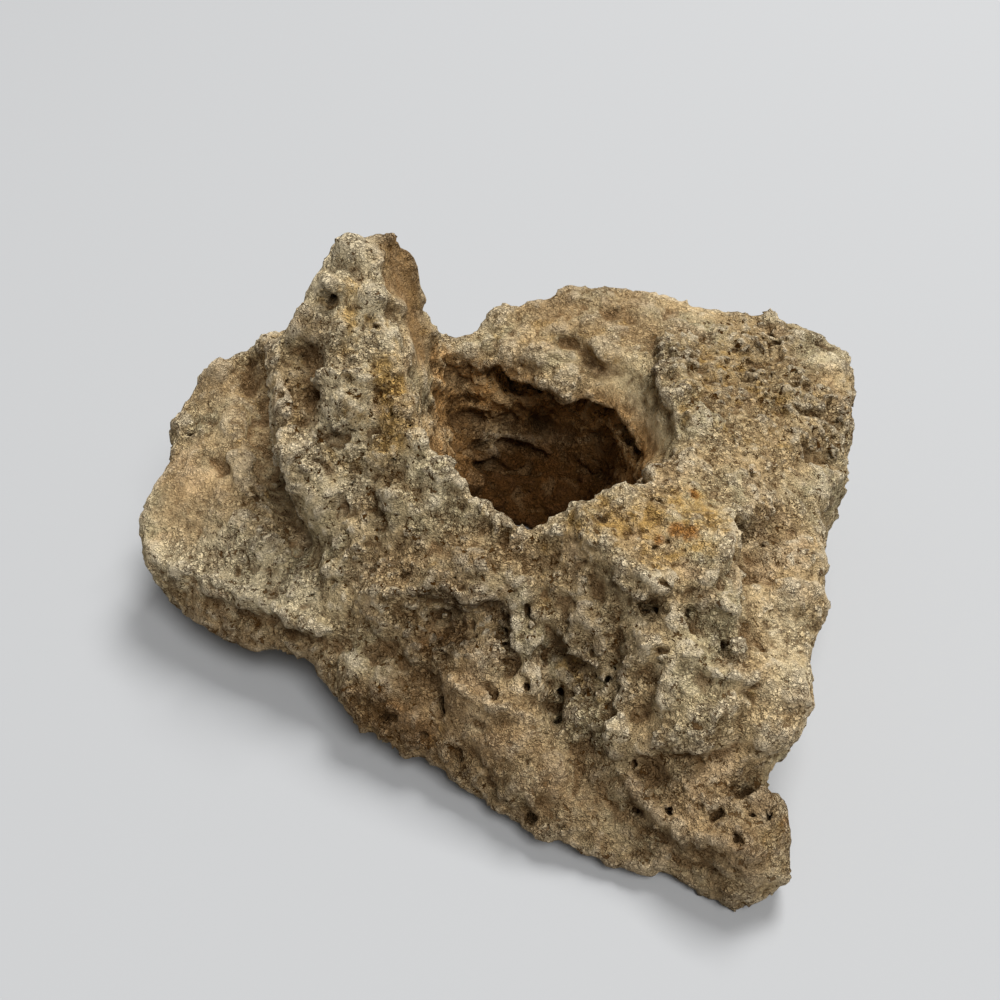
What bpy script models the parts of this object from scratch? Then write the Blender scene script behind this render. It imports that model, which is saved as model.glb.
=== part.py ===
# Fossil coral head: one weathered block of reef limestone with a shaft eroded right through it
# and a leaning peak beside the shaft. It lies on its worn underside. Metres, +Z up, origin at the
# bottom centre of its bounding box, -Y towards the low front corner.
import math
import random

import bmesh
import bpy
import numpy as np
from mathutils import Vector, noise

millimetre = 0.001

# Driving dimensions, in metres.
LENGTH = 0.1965         # along X, left lobe to right shoulder
DEPTH = 0.172           # along Y, front corner to the back flank
HEIGHT = 0.0915         # resting face to the tip of the peak

# Everything below is drawn in millimetres, and brought to the driving dimensions at the end.
FUSING_VOXEL = 1.6      # how finely the masses are fused
EDGE_WEAR = 3           # rounds of smoothing that wear the fused edges
TRIANGLES = 10400       # faces kept before the resting face is cut
SEED = 11

# The masses that the head grew from. Each is the hull of its points: its top and its brow first,
# then the points buried in its neighbours, or under the resting face at height 0.
MASSES = {
    "left_lobe": [
        (-86, 56, 46), (-76, 60, 51), (-66, 63, 51), (-92, 36, 38), (-96, 23, 31), (-97, 12, 25),
        (-95, 5, 18), (-86, -7, 10), (-66, -20, 12), (-48, -25, 14), (-77, -3, 23), (-60, -12, 23),
        (-42, -22, 21), (-50, 4, 39), (-45, 45, 50), (-94, 46, 28), (-97, 30, 20), (-88, 15, 8),
        (-84, 45, 8), (-75, 55, 6), (-76, 25, -4), (-62, 5, -4), (-70, 46, -4), (-35, 55, 0), (-30, 0, 0),
    ],
    "left_flank": [
        (-66, 61, 53), (-57, 64, 56), (-45, 64, 56), (-25, 64, 54), (-12, 64, 50), (-40, 35, 55),
        (-62, 68, 34), (-40, 73, 34), (-70, 55, 8), (-40, 68, 4), (-14, 70, 4), (-60, 50, -4),
        (-15, 60, -4), (-40, 20, -4),
    ],
    "peak": [
        (-40, 50, 93), (-31, 52, 94), (-23, 56, 91), (-19, 54, 86), (-46, 43, 87), (-51, 37, 80),
        (-55, 33, 72), (-60, 25, 58), (-59, 15, 50), (-52, 2, 41), (-47, -7, 34),
        (-8, -3, 54), (-14, 6, 59), (-20, 14, 66), (-24, 26, 75), (-31, 37, 83),
        (-16, 54, 79), (-17, 50, 64), (-38, 60, 62), (-48, 54, 68), (-24, 60, 52), (-52, 55, 50),
        (-50, 5, 10), (-10, 0, 10), (-15, 58, 10), (-50, 50, 10),
    ],
    "front_apron": [
        (-8, -3, 53), (1, -7, 52), (8, -10, 48), (-30, -3, 45), (-47, -7, 34),
        (-42, -22, 21), (-24, -14, 39), (0, -24, 37), (-12, -36, 23), (11, -52, 18), (30, -60, 17),
        (-48, -26, 13), (-40, -33, 10), (-24, -45, 8), (0, -62, 5), (22, -74, 4), (39, -77, 2),
        (-30, -20, -4), (0, -45, -4), (26, -62, -4), (-35, 5, -4), (20, 0, -4), (30, -30, 10),
    ],
    "front_corner": [
        (39, -77, 2), (51, -83, 2), (58, -81, 3), (64, -74, 7), (64, -67, 16), (60, -62, 21),
        (48, -66, 23), (38, -64, 21), (34, -69, 11), (50, -76, 14),
        (50, -78, -4), (60, -70, -4), (30, -60, -4), (55, -45, -4), (55, -50, 20), (35, -50, 20),
    ],
    "ridge": [
        (17, -10, 53), (26, -4, 56), (35, -1, 55), (47, 0, 54), (54, -20, 51), (31, -26, 49),
        (45, -28, 46), (44, -38, 40), (48, -49, 33), (43, -60, 24), (54, -57, 25),
        (20, -22, 36), (27, -43, 22), (57, -25, 36), (30, -60, 8), (60, -55, 8),
        (15, -10, 10), (55, 5, 10), (60, -40, 5),
    ],
    "tongue": [
        (8, -9, 48), (15, -9, 54), (20, -10, 55), (4, -16, 42), (16, -20, 44), (22, -23, 43),
        (10, -30, 36), (23, -33, 37), (16, -44, 24), (28, -44, 29), (24, -50, 20), (31, -54, 22),
        (5, -10, 10), (25, -10, 10), (10, -40, 8), (28, -45, 8),
    ],
    "right_lobe": [
        (69, -48, 30), (70, -40, 33), (65, -57, 26), (58, -59, 23), (48, -49, 32), (60, -35, 37),
        (68, -50, 18), (70, -38, 10), (60, -56, 8), (60, -30, -4), (50, -50, -4), (66, -38, 0),
    ],
    "right_shoulder": [
        (77, -25, 36), (77, -12, 41), (70, -31, 37), (66, -23, 42), (57, -17, 41), (58, -29, 38),
        (80, 0, 42), (57, -8, 44),
        (74, -28, 8), (78, -5, 8), (68, -30, -4), (72, -5, -4), (50, -20, 0), (50, 5, 0),
    ],
    "right_fill": [
        (50, -6, 50), (66, -4, 46), (76, -4, 39), (75, -24, 35), (69, -40, 31), (64, -53, 25),
        (46, -48, 31), (44, -36, 37), (50, -20, 44),
        (74, -24, 6), (66, -50, 6), (76, -4, 6), (40, -40, 6), (40, 0, 6),
    ],
    "right_mass": [
        (30, 28, 51), (32, 6, 54), (54, 60, 57), (59, 77, 57), (86, 71, 55), (99, 57, 52),
        (98, 42, 49), (94, 29, 47), (86, 17, 44), (81, 1, 42), (60, -4, 51), (54, -16, 51),
        (100, 45, 32), (92, 66, 32), (93, 25, 28), (97, 50, 20), (90, 25, 12), (80, 0, 10),
        (86, 68, 12), (92, 45, 2), (84, 20, 0),
        (60, 76, -4), (80, 60, -4), (76, 0, -4), (45, 20, -4), (40, 60, -4),
    ],
    "foot": [
        (-42, -8, 22), (-38, 45, 24), (-12, 62, 24), (30, 66, 24), (55, 45, 24), (55, -5, 24),
        (30, -20, 24), (-10, -18, 24),
        (-42, -8, -4), (-40, 45, -4), (-12, 62, -4), (30, 68, -4), (58, 45, -4), (58, -8, -4),
        (30, -25, -4), (-10, -20, -4),
    ],
    "back_fill": [
        (-35, 66, 42), (-12, 71, 45), (4, 75, 45), (-35, 68, 10), (-10, 76, 8), (8, 80, 10),
        (-35, 58, -4), (-10, 66, -4), (8, 68, -4), (-20, 54, 20),
    ],
    "back_mass": [
        (59, 77, 57), (40, 79, 59), (20, 78, 60), (-3, 73, 56), (-10, 66, 51), (-13, 62, 50),
        (-3, 57, 47), (13, 49, 46), (20, 41, 45), (27, 45, 46), (45, 35, 52),
        (62, 84, 36), (42, 88, 38), (14, 87, 36), (-10, 78, 32), (60, 82, 12), (20, 83, 10), (-5, 78, 8),
        (-14, 68, 6),
        (60, 74, -4), (20, 76, -4), (-8, 66, -4), (45, 40, -4), (10, 50, -4),
    ],
}

# The shaft that runs right through, as its radius in each direction round SHAFT_CENTRE, starting at
# +X and going counterclockwise, at each height. It narrows downwards, has a belly under the lip of
# the back wall, and opens above the rim in a funnel on its right.
SHAFT_CENTRE = (12, 24)
SHAFT_RADII = {
    -20: [19, 18, 18, 20, 23, 25, 25, 21, 19, 20, 20, 22, 24, 25, 25, 23, 21, 20],
    3: [19, 18, 18, 20, 23, 25, 25, 21, 19, 20, 20, 22, 24, 25, 25, 23, 21, 20],
    14: [22, 21, 22, 24, 26, 28, 28, 25, 23, 24, 25, 26, 28, 28, 27, 25, 23, 22],
    28: [25, 25, 26, 29, 30, 32, 36, 35, 30, 29, 30, 31, 32, 32, 29, 26, 25, 25],
    38: [26, 26, 27, 30, 27, 33, 38, 38, 32, 30, 30, 32, 33, 33, 28, 24, 25, 27],
    46: [30, 29, 31, 26, 23, 30, 39, 40, 34, 32, 32, 33, 33, 36, 28, 24, 27, 32],
    54: [35, 32, 38, 34, 27, 33, 40, 41, 35, 32, 32, 33, 34, 37, 30, 27, 30, 37],
    80: [45, 42, 47, 40, 32, 38, 46, 45, 43, 39, 38, 38, 38, 40, 38, 36, 38, 44],
    130: [50, 50, 50, 40, 40, 45, 55, 55, 55, 55, 55, 55, 55, 50, 50, 50, 50, 50],
}
SHAFT_STEP = 1.5        # from one ring of the shaft's wall to the next
SHAFT_SIDES = 90
SHAFT_MIDDLE_RADIUS = 28
LEDGE_DEPTH = 6.0       # how far each ledge of the wall stands out
LEDGE_SPACING = 11
LEDGE_CLIMB = 0.45      # the ledges climb from right to left along the back wall
LEDGE_WANDER = 1.3      # how many spacings a ledge strays from its even climb
LEDGE_HEIGHTS = [4, 12, 38, 46]         # where the ledges start, stand full, fade and end

# Swellings and creases: how far each reaches beside its line, how far the surface rises there (a
# crease sinks), and the points of the line.
FORMS = {
    "lobe_crease": (9, -3.5, [(-66, 47, 49), (-63, 30, 44), (-59, 16, 41), (-53, 3, 38), (-48, -5, 33)]),
    "lobe_brow": (8, 1.6, [(-93, 6, 22), (-82, -1, 22), (-66, -10, 22), (-48, -19, 21), (-23, -32, 22)]),
    "under_brow": (8, 0.8, [(-87, -4, 15), (-72, -14, 15), (-55, -22, 16), (-42, -26, 17)]),
    "swelling_crease": (7, -2.6, [(-40, -23, 21), (-27, -29, 23), (-16, -37, 21), (-13, -42, 18)]),
    "front_swelling": (14, 3.2, [(-12, -40, 19), (-4, -47, 17), (5, -54, 13), (12, -60, 11)]),
    "low_lump": (12, 2.6, [(-30, -35, 15), (-25, -39, 14)]),
    "apron_edge": (7, 1.6, [(-28, -19, 32), (-19, -20, 35), (-11, -18, 39), (-5, -18, 40)]),
    "gully": (9, -3.4, [(10, -20, 42), (12, -26, 39), (13, -35, 32), (14, -46, 23), (22, -61, 14)]),
    "knob_front": (7, 1.8, [(20, -16, 50), (27, -23, 47), (33, -30, 46)]),
    "knob_right": (7, 1.6, [(56, -12, 51), (54, -24, 48), (51, -31, 44)]),
    "knob_hollow": (8, -2.6, [(60, -13, 46), (60, -21, 42), (64, -28, 38)]),
    "mid_step": (7, 1.8, [(33, -29, 47), (32, -37, 38), (31, -41, 33)]),
    "belly": (14, 2.4, [(41, -50, 31), (35, -54, 24)]),
    "corner_crease": (8, -2.6, [(62, -60, 22), (51, -65, 22), (43, -66, 21), (35, -58, 18)]),
    "corner_bulge": (12, 1.8, [(51, -75, 14), (57, -74, 12)]),
    "side_lobe": (12, 1.8, [(62, -46, 32), (59, -54, 28)]),
    "funnel_edge": (7, 2.4, [(50, 62, 56), (49, 44, 54), (49, 29, 54), (52, 16, 54)]),
    "peak_patch": (8, 2.2, [(-47, 22, 65), (-39, 22, 68), (-33, 20, 68)]),
    "peak_hollow": (8, -2.2, [(-53, 26, 66), (-50, 20, 62)]),
    "peak_knob": (7, 2.4, [(-42, 39, 83)]),
    "peak_ledge": (7, 2.0, [(-26, 34, 73), (-22, 36, 66)]),
    "grey_lump": (9, 2.4, [(-27, -1, 47), (-24, -4, 45)]),
    "back_hollow": (7, -2.4, [(17, 57, 50), (25, 52, 50)]),
    "back_brow": (7, 0.8, [(2, 74, 58), (20, 76, 60), (42, 77, 60), (60, 75, 58)]),
    "far_bumps": (9, 2.4, [(-84, 53, 47)]),
    "back_swelling": (24, 3.5, [(34, 86, 30)]),
    "back_dent": (17, -4.5, [(4, 84, 24), (8, 84, 8)]),
    "back_step": (12, -3.0, [(68, 80, 34), (78, 70, 10)]),
    "flank_swelling": (18, 3.0, [(-44, 70, 28)]),
    "flank_dent": (14, -3.5, [(-70, 62, 30), (-66, 60, 12)]),
    "lobe_dent": (15, -3.5, [(-97, 34, 26), (-90, 28, 12)]),
    "right_dent": (15, -3.5, [(97, 38, 30), (92, 34, 12)]),
    "right_swelling": (18, 2.5, [(88, 12, 24)]),
    "far_bump_gap": (6, -2.0, [(-80, 57, 48)]),
    "side_bump": (9, 2.6, [(86, 14, 38)]),
    "flank_bump": (8, 2.0, [(-66, 61, 54)]),
}

# Borings and pits that show one by one: how wide and how deep each is, and where it opens.
PITS = {
    "knob_boring": (4.5, 5.0, (34, -34, 43)),
    "gully_boring": (4.5, 6.0, (14, -46, 23)),
    "side_boring": (4.0, 4.5, (24, -41, 30)),
    "upper_boring": (3.6, 3.5, (13, -37, 31)),
    "apron_pit": (4.0, 3.0, (-14, -28, 31)),
    "apron_hollow": (4.5, 3.0, (1, -33, 30)),
    "low_pit": (4.2, 3.5, (-9, -51, 11)),
    "edge_pit": (4.2, 3.5, (8, -62, 7)),
    "rim_nick": (4.5, 3.5, (-18, 4, 56)),
    "cap_pit": (4.0, 3.0, (-43, 36, 81)),
    "side_crack": (4.0, 3.5, (50, -36, 42)),
    "corner_pit": (4.2, 3.5, (54, -63, 23)),
    "top_pit": (4.5, 3.0, (66, 33, 54)),
    "top_pits": (5.5, 2.5, (60, 24, 54)),
}
SMALL_PITS = 150        # scattered over the rest of the surface
PIT_WIDTHS = (3.0, 5.0)
PIT_DEPTH = 0.45        # of a scattered pit, as a share of its width
RELIEF = {24: 2.2, 12: 1.5, 6.5: 0.8}   # the size of the lumps, and how far they rise and fall
KNOB_RISE = 0.75        # how much of the relief is knobs, and how much is a soft swell
SWELL_RISE = 0.6
BACK_ROUGHNESS = 0.8    # how much more the surfaces that face the back rise and fall
STONE_COLOUR = (0.33, 0.25, 0.15, 1)
STONE_ROUGHNESS = 0.95


def clear_scene():
    for found in list(bpy.data.objects):
        bpy.data.objects.remove(found, do_unlink=True)


def object_from(name, shape):
    mesh = bpy.data.meshes.new(name)
    shape.to_mesh(mesh)
    shape.free()
    made = bpy.data.objects.new(name, mesh)
    bpy.context.scene.collection.objects.link(made)
    return made


def hide_helper(helper):
    helper.hide_render = True
    helper.display_type = "WIRE"


def add_hull(shape, points):
    corners = [shape.verts.new(Vector(point) * millimetre) for point in points]
    hull = bmesh.ops.convex_hull(shape, input=corners)
    spare = [v for v in hull["geom_interior"] + hull["geom_unused"] if isinstance(v, bmesh.types.BMVert)]
    bmesh.ops.delete(shape, geom=list(set(spare)), context="VERTS")


def masses_object():
    shape = bmesh.new()
    for points in MASSES.values():
        add_hull(shape, points)
    bmesh.ops.recalc_face_normals(shape, faces=shape.faces)
    return object_from("coral_head", shape)


def shaft_radius(turn, height):
    heights = sorted(SHAFT_RADII)
    share = turn * len(SHAFT_RADII[heights[0]])
    here = []
    for level in heights:
        radii = SHAFT_RADII[level]
        before = radii[int(share) % len(radii)]
        after = radii[(int(share) + 1) % len(radii)]
        here.append(before + (after - before) * (share % 1))
    return float(np.interp(height, heights, here))


def ledge(turn, height):
    # One shelf over another: each swells out as it rises, and drops back sharply over its brow.
    angle = 2 * math.pi * turn
    climbed = LEDGE_CLIMB * SHAFT_MIDDLE_RADIUS * angle
    spot = Vector((math.cos(angle), math.sin(angle), height / SHAFT_MIDDLE_RADIUS)) * 1.8
    phase = ((height - climbed) / LEDGE_SPACING + LEDGE_WANDER * noise.noise(spot)) % 1
    swelling = phase ** 1.6
    fade = np.interp(height, LEDGE_HEIGHTS, [0, 1, 1, 0])
    return LEDGE_DEPTH * fade * (swelling - 0.4)


def shaft_cutter():
    shape = bmesh.new()
    rings = []
    for height in np.arange(min(SHAFT_RADII), max(SHAFT_RADII), SHAFT_STEP):
        ring = []
        for step in range(SHAFT_SIDES):
            turn = step / SHAFT_SIDES
            angle = 2 * math.pi * turn
            radius = shaft_radius(turn, height) - ledge(turn, height)
            across = SHAFT_CENTRE[0] + radius * math.cos(angle)
            away = SHAFT_CENTRE[1] + radius * math.sin(angle)
            ring.append(shape.verts.new(Vector((across, away, height)) * millimetre))
        rings.append(ring)
    for lower, upper in zip(rings, rings[1:]):
        for step in range(SHAFT_SIDES):
            following = (step + 1) % SHAFT_SIDES
            shape.faces.new((lower[step], lower[following], upper[following], upper[step]))
    shape.faces.new(list(reversed(rings[0])))
    shape.faces.new(rings[-1])
    bmesh.ops.recalc_face_normals(shape, faces=shape.faces)
    cutter = object_from("shaft_cutter", shape)
    hide_helper(cutter)
    return cutter


def floor_cutter():
    # A block whose top is the resting face.
    side = 2 * LENGTH
    shape = bmesh.new()
    bmesh.ops.create_cube(shape, size=side)
    bmesh.ops.translate(shape, verts=shape.verts, vec=(0, 0, -side / 2))
    cutter = object_from("floor_cutter", shape)
    hide_helper(cutter)
    return cutter


def add_cut(body, cutter):
    cut = body.modifiers.new(cutter.name, "BOOLEAN")
    cut.operation = "DIFFERENCE"
    cut.object = cutter


def add_fusing(body, voxel):
    fusing = body.modifiers.new("fusing", "REMESH")
    fusing.mode = "VOXEL"
    fusing.voxel_size = voxel * millimetre


def add_wear(body, rounds):
    wear = body.modifiers.new("wear", "SMOOTH")
    wear.factor = 0.5
    wear.iterations = rounds


def settle(body):
    # Makes what the modifiers give the object's own mesh.
    depsgraph = bpy.context.evaluated_depsgraph_get()
    mesh = bpy.data.meshes.new_from_object(body.evaluated_get(depsgraph))
    body.modifiers.clear()
    body.data = mesh


def vertex_array(mesh, name):
    values = np.empty(len(mesh.vertices) * 3)
    if name == "normal":
        mesh.vertex_normals.foreach_get("vector", values)
    else:
        mesh.vertices.foreach_get("co", values)
    return values.reshape(-1, 3)


def distance_to_line(places, line):
    nearest = np.full(len(places), np.inf)
    ends = line[1:] or line
    for start, end in zip(line, ends):
        start = np.array(start, float)
        run = np.array(end, float) - start
        length = max(run @ run, 1e-9)
        share = np.clip((places - start) @ run / length, 0, 1)
        gap = np.linalg.norm(places - start - share[:, None] * run, axis=1)
        nearest = np.minimum(nearest, gap)
    return nearest


def bell(share):
    return np.where(share < 1, (1 - np.clip(share, 0, 1) ** 2) ** 2, 0)


def lumps(places, size):
    # Knobs a size apart that meet in creases, with a softer swell under them.
    heights = []
    for place in places:
        spot = Vector(place) / size
        near = noise.voronoi(spot)[0][0]
        knob = 0.45 - near
        swell = noise.noise(spot * 0.8)
        heights.append(KNOB_RISE * knob + SWELL_RISE * swell)
    return np.array(heights)


def scattered_pits(places):
    chance = random.Random(SEED)
    chosen = []
    while len(chosen) < SMALL_PITS:
        spot = places[chance.randrange(len(places))]
        width = chance.uniform(*PIT_WIDTHS)
        if all(np.linalg.norm(spot - other) > width + reach for reach, other in chosen):
            chosen.append((width, spot))
    return chosen


def weather(mesh):
    # Moves the surface in and out along its normals.
    places = vertex_array(mesh, "place") / millimetre
    normals = vertex_array(mesh, "normal")
    lift = np.zeros(len(places))
    for reach, rise, line in FORMS.values():
        lift += rise * bell(distance_to_line(places, line) / reach)
    behind = 1 + BACK_ROUGHNESS * np.clip(normals[:, 1], 0, 1)
    for size, rise in RELIEF.items():
        lift += rise * behind * lumps(places, size)
    for width, depth, spot in PITS.values():
        lift -= depth * bell(distance_to_line(places, [spot]) / width)
    for width, spot in scattered_pits(places):
        lift -= PIT_DEPTH * width * bell(distance_to_line(places, [spot]) / width)
    places += normals * lift[:, None]
    mesh.vertices.foreach_set("co", (places * millimetre).ravel())
    mesh.update()


def thin_out(body):
    faces = sum(len(face.vertices) - 2 for face in body.data.polygons)
    thinning = body.modifiers.new("thinning", "DECIMATE")
    thinning.ratio = TRIANGLES / faces


def fit_to_size(mesh):
    places = vertex_array(mesh, "place")
    low = places.min(axis=0)
    size = places.max(axis=0) - low
    centre = low + size / 2
    centre[2] = low[2]
    places = (places - centre) * (np.array([LENGTH, DEPTH, HEIGHT]) / size)
    mesh.vertices.foreach_set("co", places.ravel())
    mesh.update()


def limestone():
    material = bpy.data.materials.new("coral_limestone")
    material.use_nodes = True
    shader = material.node_tree.nodes["Principled BSDF"]
    shader.inputs["Base Color"].default_value = STONE_COLOUR
    shader.inputs["Roughness"].default_value = STONE_ROUGHNESS
    shader.inputs["Metallic"].default_value = 0
    return material


def main():
    clear_scene()
    body = masses_object()
    add_fusing(body, FUSING_VOXEL)
    add_cut(body, shaft_cutter())
    add_wear(body, EDGE_WEAR)
    settle(body)
    weather(body.data)
    add_fusing(body, FUSING_VOXEL)
    add_wear(body, 1)
    settle(body)
    thin_out(body)
    add_cut(body, floor_cutter())
    settle(body)
    fit_to_size(body.data)
    body.data.materials.append(limestone())


main()
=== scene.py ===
import math

import bmesh
import bpy
import numpy as np
from mathutils import Matrix, Vector
from mathutils.bvhtree import BVHTree


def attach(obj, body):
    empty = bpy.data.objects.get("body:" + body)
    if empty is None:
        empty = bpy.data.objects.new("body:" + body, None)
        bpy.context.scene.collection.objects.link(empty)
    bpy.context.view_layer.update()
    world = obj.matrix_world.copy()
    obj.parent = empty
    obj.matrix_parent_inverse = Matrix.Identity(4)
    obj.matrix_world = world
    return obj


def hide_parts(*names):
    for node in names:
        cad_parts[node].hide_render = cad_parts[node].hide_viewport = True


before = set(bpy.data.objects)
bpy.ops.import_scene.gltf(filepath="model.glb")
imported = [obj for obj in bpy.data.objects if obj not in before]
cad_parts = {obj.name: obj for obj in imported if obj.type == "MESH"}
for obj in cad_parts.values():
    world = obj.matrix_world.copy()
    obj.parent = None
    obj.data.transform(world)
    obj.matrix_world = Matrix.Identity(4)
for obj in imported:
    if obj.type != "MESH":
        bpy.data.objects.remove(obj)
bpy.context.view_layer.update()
mmPerMetre = 1000
print("frame loaded")


# Small helpers for node trees

class Wire:
    # A socket that adds its own Math or Vector Math node when it stands in a sum.
    def __init__(self, socket):
        self.socket = socket
        self.bench = Bench(socket.id_data)
        self.isVector = socket.type == "VECTOR"

    def sum(self, operation, *values):
        kind = "ShaderNodeVectorMath" if self.isVector else "ShaderNodeMath"
        return self.bench.wire(kind, 0, {"operation": operation}, dict(enumerate(values)))

    def most(self, other):
        return self.sum("MAXIMUM", self, other)

    def least(self, other):
        return self.sum("MINIMUM", self, other)

    def __add__(self, other):
        return self.sum("ADD", self, other)

    __radd__ = __add__

    def __sub__(self, other):
        return self.sum("SUBTRACT", self, other)

    def __rsub__(self, other):
        return self.sum("SUBTRACT", other, self)

    def __mul__(self, other):
        if self.isVector:
            return self.bench.vector("SCALE", {0: self, "Scale": other})
        return self.sum("MULTIPLY", self, other)

    __rmul__ = __mul__

    def __truediv__(self, other):
        return self.sum("DIVIDE", self, other)

    def __rtruediv__(self, other):
        return self.sum("DIVIDE", other, self)


class Bench:
    # A node tree that is being built.
    def __init__(self, tree):
        self.tree = tree

    def node(self, kind, settings={}, sockets={}):
        made = self.tree.nodes.new(kind)
        for name, value in settings.items():
            setattr(made, name, value)
        for name, value in sockets.items():
            if isinstance(value, Wire):
                self.tree.links.new(value.socket, made.inputs[name])
            else:
                made.inputs[name].default_value = value
        return made

    def wire(self, kind, output, settings={}, sockets={}):
        return Wire(self.node(kind, settings, sockets).outputs[output])

    def vector(self, operation, sockets, output=0):
        return self.wire("ShaderNodeVectorMath", output, {"operation": operation}, sockets)

    def noise(self, place, size, detail=2, roughness=0.5, output="Fac"):
        # A place that is shifted first reads another part of the noise.
        return self.wire("ShaderNodeTexNoise", output, {}, {
            "Vector": place, "Scale": 1 / size, "Detail": detail, "Roughness": roughness})

    def cells(self, place, size):
        # How far each place is from the middle of its cell, as a share of the size.
        return self.wire("ShaderNodeTexVoronoi", "Distance", {}, {"Vector": place, "Scale": 1 / size})

    def bent(self, place, size, reach):
        # The same place, pushed about by a noise of that size.
        push = self.noise(place, size, output="Color")
        centred = self.vector("SUBTRACT", {0: push, 1: (0.5, 0.5, 0.5)})
        return place + centred * reach

    def step(self, value, low, high):
        # 0 below low, 1 above high, and a soft rise between them.
        return self.wire("ShaderNodeMapRange", "Result", {"interpolation_type": "SMOOTHSTEP"}, {
            "Value": value, "From Min": low, "From Max": high})

    def mix(self, share, first, second, blend="MIX"):
        factorSocket, firstSocket, secondSocket, result = 0, 6, 7, 2
        return self.wire("ShaderNodeMix", result, {"data_type": "RGBA", "blend_type": blend}, {
            factorSocket: share, firstSocket: first, secondSocket: second})


def shown(name, data):
    made = bpy.data.objects.new(name, data)
    bpy.context.scene.collection.objects.link(made)
    return made


def placesOf(mesh):
    # The vertices' places, in mm.
    places = np.empty(len(mesh.vertices) * 3)
    mesh.vertices.foreach_get("co", places)
    return places.reshape(-1, 3) * mmPerMetre


def normalsOf(mesh):
    normals = np.empty(len(mesh.vertices) * 3)
    mesh.vertex_normals.foreach_get("vector", normals)
    return normals.reshape(-1, 3)


def edgeEnds(mesh):
    # The numbers of the vertices at the first and at the second end of each edge.
    ends = np.empty(len(mesh.edges) * 2, int)
    mesh.edges.foreach_get("vertices", ends)
    return ends.reshape(-1, 2).T


def moveTo(mesh, places):
    mesh.vertices.foreach_set("co", (places / mmPerMetre).ravel())
    mesh.update()


def entries(table):
    # What a table lists by area, one after the other.
    return [entry for area in table.values() for entry in area]


def settled(source):
    # The mesh that the object's modifiers give, with the modifiers gone.
    depsgraph = bpy.context.evaluated_depsgraph_get()
    mesh = bpy.data.meshes.new_from_object(source.evaluated_get(depsgraph))
    source.modifiers.clear()
    source.data = mesh
    return mesh


# Camera, at the photograph's angle

cameraValues = {
    "place": (-0.0008, -0.1859, 0.210),
    "lookDown": 42,             # degrees below level
    "lens": 36,                 # mm, on a sensor as wide
    "clipStart": 0.01,          # m
    "imageSize": 1000,          # pixels each way
}


def makeCamera():
    data = bpy.data.cameras.new("camera")
    data.lens = cameraValues["lens"]
    data.sensor_width = cameraValues["lens"]
    data.clip_start = cameraValues["clipStart"]
    made = shown("camera", data)
    made.location = cameraValues["place"]
    made.rotation_euler = (math.radians(90 - cameraValues["lookDown"]), 0, 0)
    bpy.context.scene.camera = made


def sightLine(pixel):
    size = cameraValues["imageSize"]
    across = pixel[0] / size - 0.5
    upwards = 0.5 - pixel[1] / size
    tilt = math.radians(cameraValues["lookDown"])
    forward = Vector((0, math.cos(tilt), -math.sin(tilt)))
    top = Vector((0, math.sin(tilt), math.cos(tilt)))
    return (forward + Vector((1, 0, 0)) * across + top * upwards).normalized()


class Skin:
    # The surface as the photograph sees it: a pixel gives a place on it in mm, the normal there
    # and a pixel's width in mm at that distance.
    def __init__(self, mesh):
        self.tree = BVHTree.FromPolygons(
            [v.co * mmPerMetre for v in mesh.vertices], [tuple(p.vertices) for p in mesh.polygons])
        self.eye = Vector(cameraValues["place"]) * mmPerMetre

    def under(self, pixel):
        place, normal, index, distance = self.tree.ray_cast(self.eye, sightLine(pixel))
        if place is None:
            return None
        return place, normal, distance / cameraValues["imageSize"]

    def along(self, pixels, step=4):
        # The surface under a line through the pixels, every few pixels.
        closest = 0.3
        found = []
        for start, end in zip(pixels, pixels[1:] or pixels):
            count = max(1, round(math.dist(start, end) / step))
            for index in range(count + 1):
                share = index / count
                pixel = [a + (b - a) * share for a, b in zip(start, end)]
                hit = self.under(pixel)
                if hit and (not found or (hit[0] - found[-1][0]).length > closest):
                    found.append(hit)
        return found


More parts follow.
